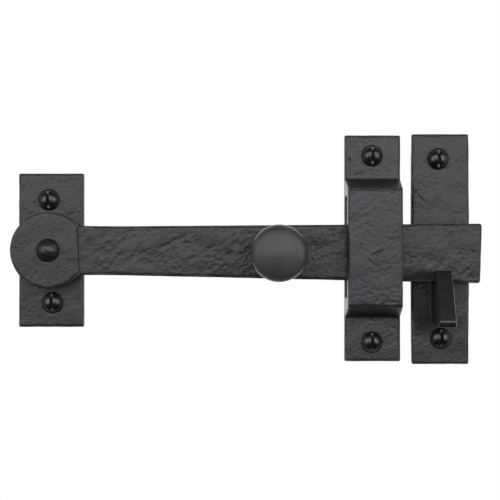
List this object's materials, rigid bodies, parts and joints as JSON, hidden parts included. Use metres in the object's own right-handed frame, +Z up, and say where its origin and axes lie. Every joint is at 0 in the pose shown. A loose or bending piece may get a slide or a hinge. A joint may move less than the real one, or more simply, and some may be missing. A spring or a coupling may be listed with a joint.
{
  "type": "drop bar gate latch",
  "caption": "Drop bar gate latch: a riveted bar is lifted by its knob, runs through a raised guide and drops behind a ramped hook on its strike plate.",
  "frame": {"origin": "the bar's pivot axis, in the plane of the plates' backs", "axes": "+X towards the bar's free end, +Y into the gate, out of the plates' backs, +Z up"},
  "size_m": [0.2076, 0.0531, 0.1027],
  "materials": {
    "black_iron": "satin black over a rough, hammered casting",
    "black_knob": "satin black over a smooth turned surface",
    "black_fastener": "semi-gloss black screws, rivet and washer"
  },
  "bodies": {
    "mounting": {"pivot_plate": "black_iron", "pivot_washer": "black_fastener", "pivot_rivet": "black_fastener", "guide": "black_iron", "strike_plate": "black_iron", "wood_screws": "black_fastener"},
    "bar": {"latch_bar": "black_iron", "knob": "black_knob", "knob_screw": "black_fastener"}
  },
  "joints": [
    {"name": "bar_pivot", "type": "hinge", "parent": "mounting", "child": "bar", "pos_m": [0, 0, 0], "axis": [0, -1, 0], "range_deg": [0, 4.4]}
  ]
}
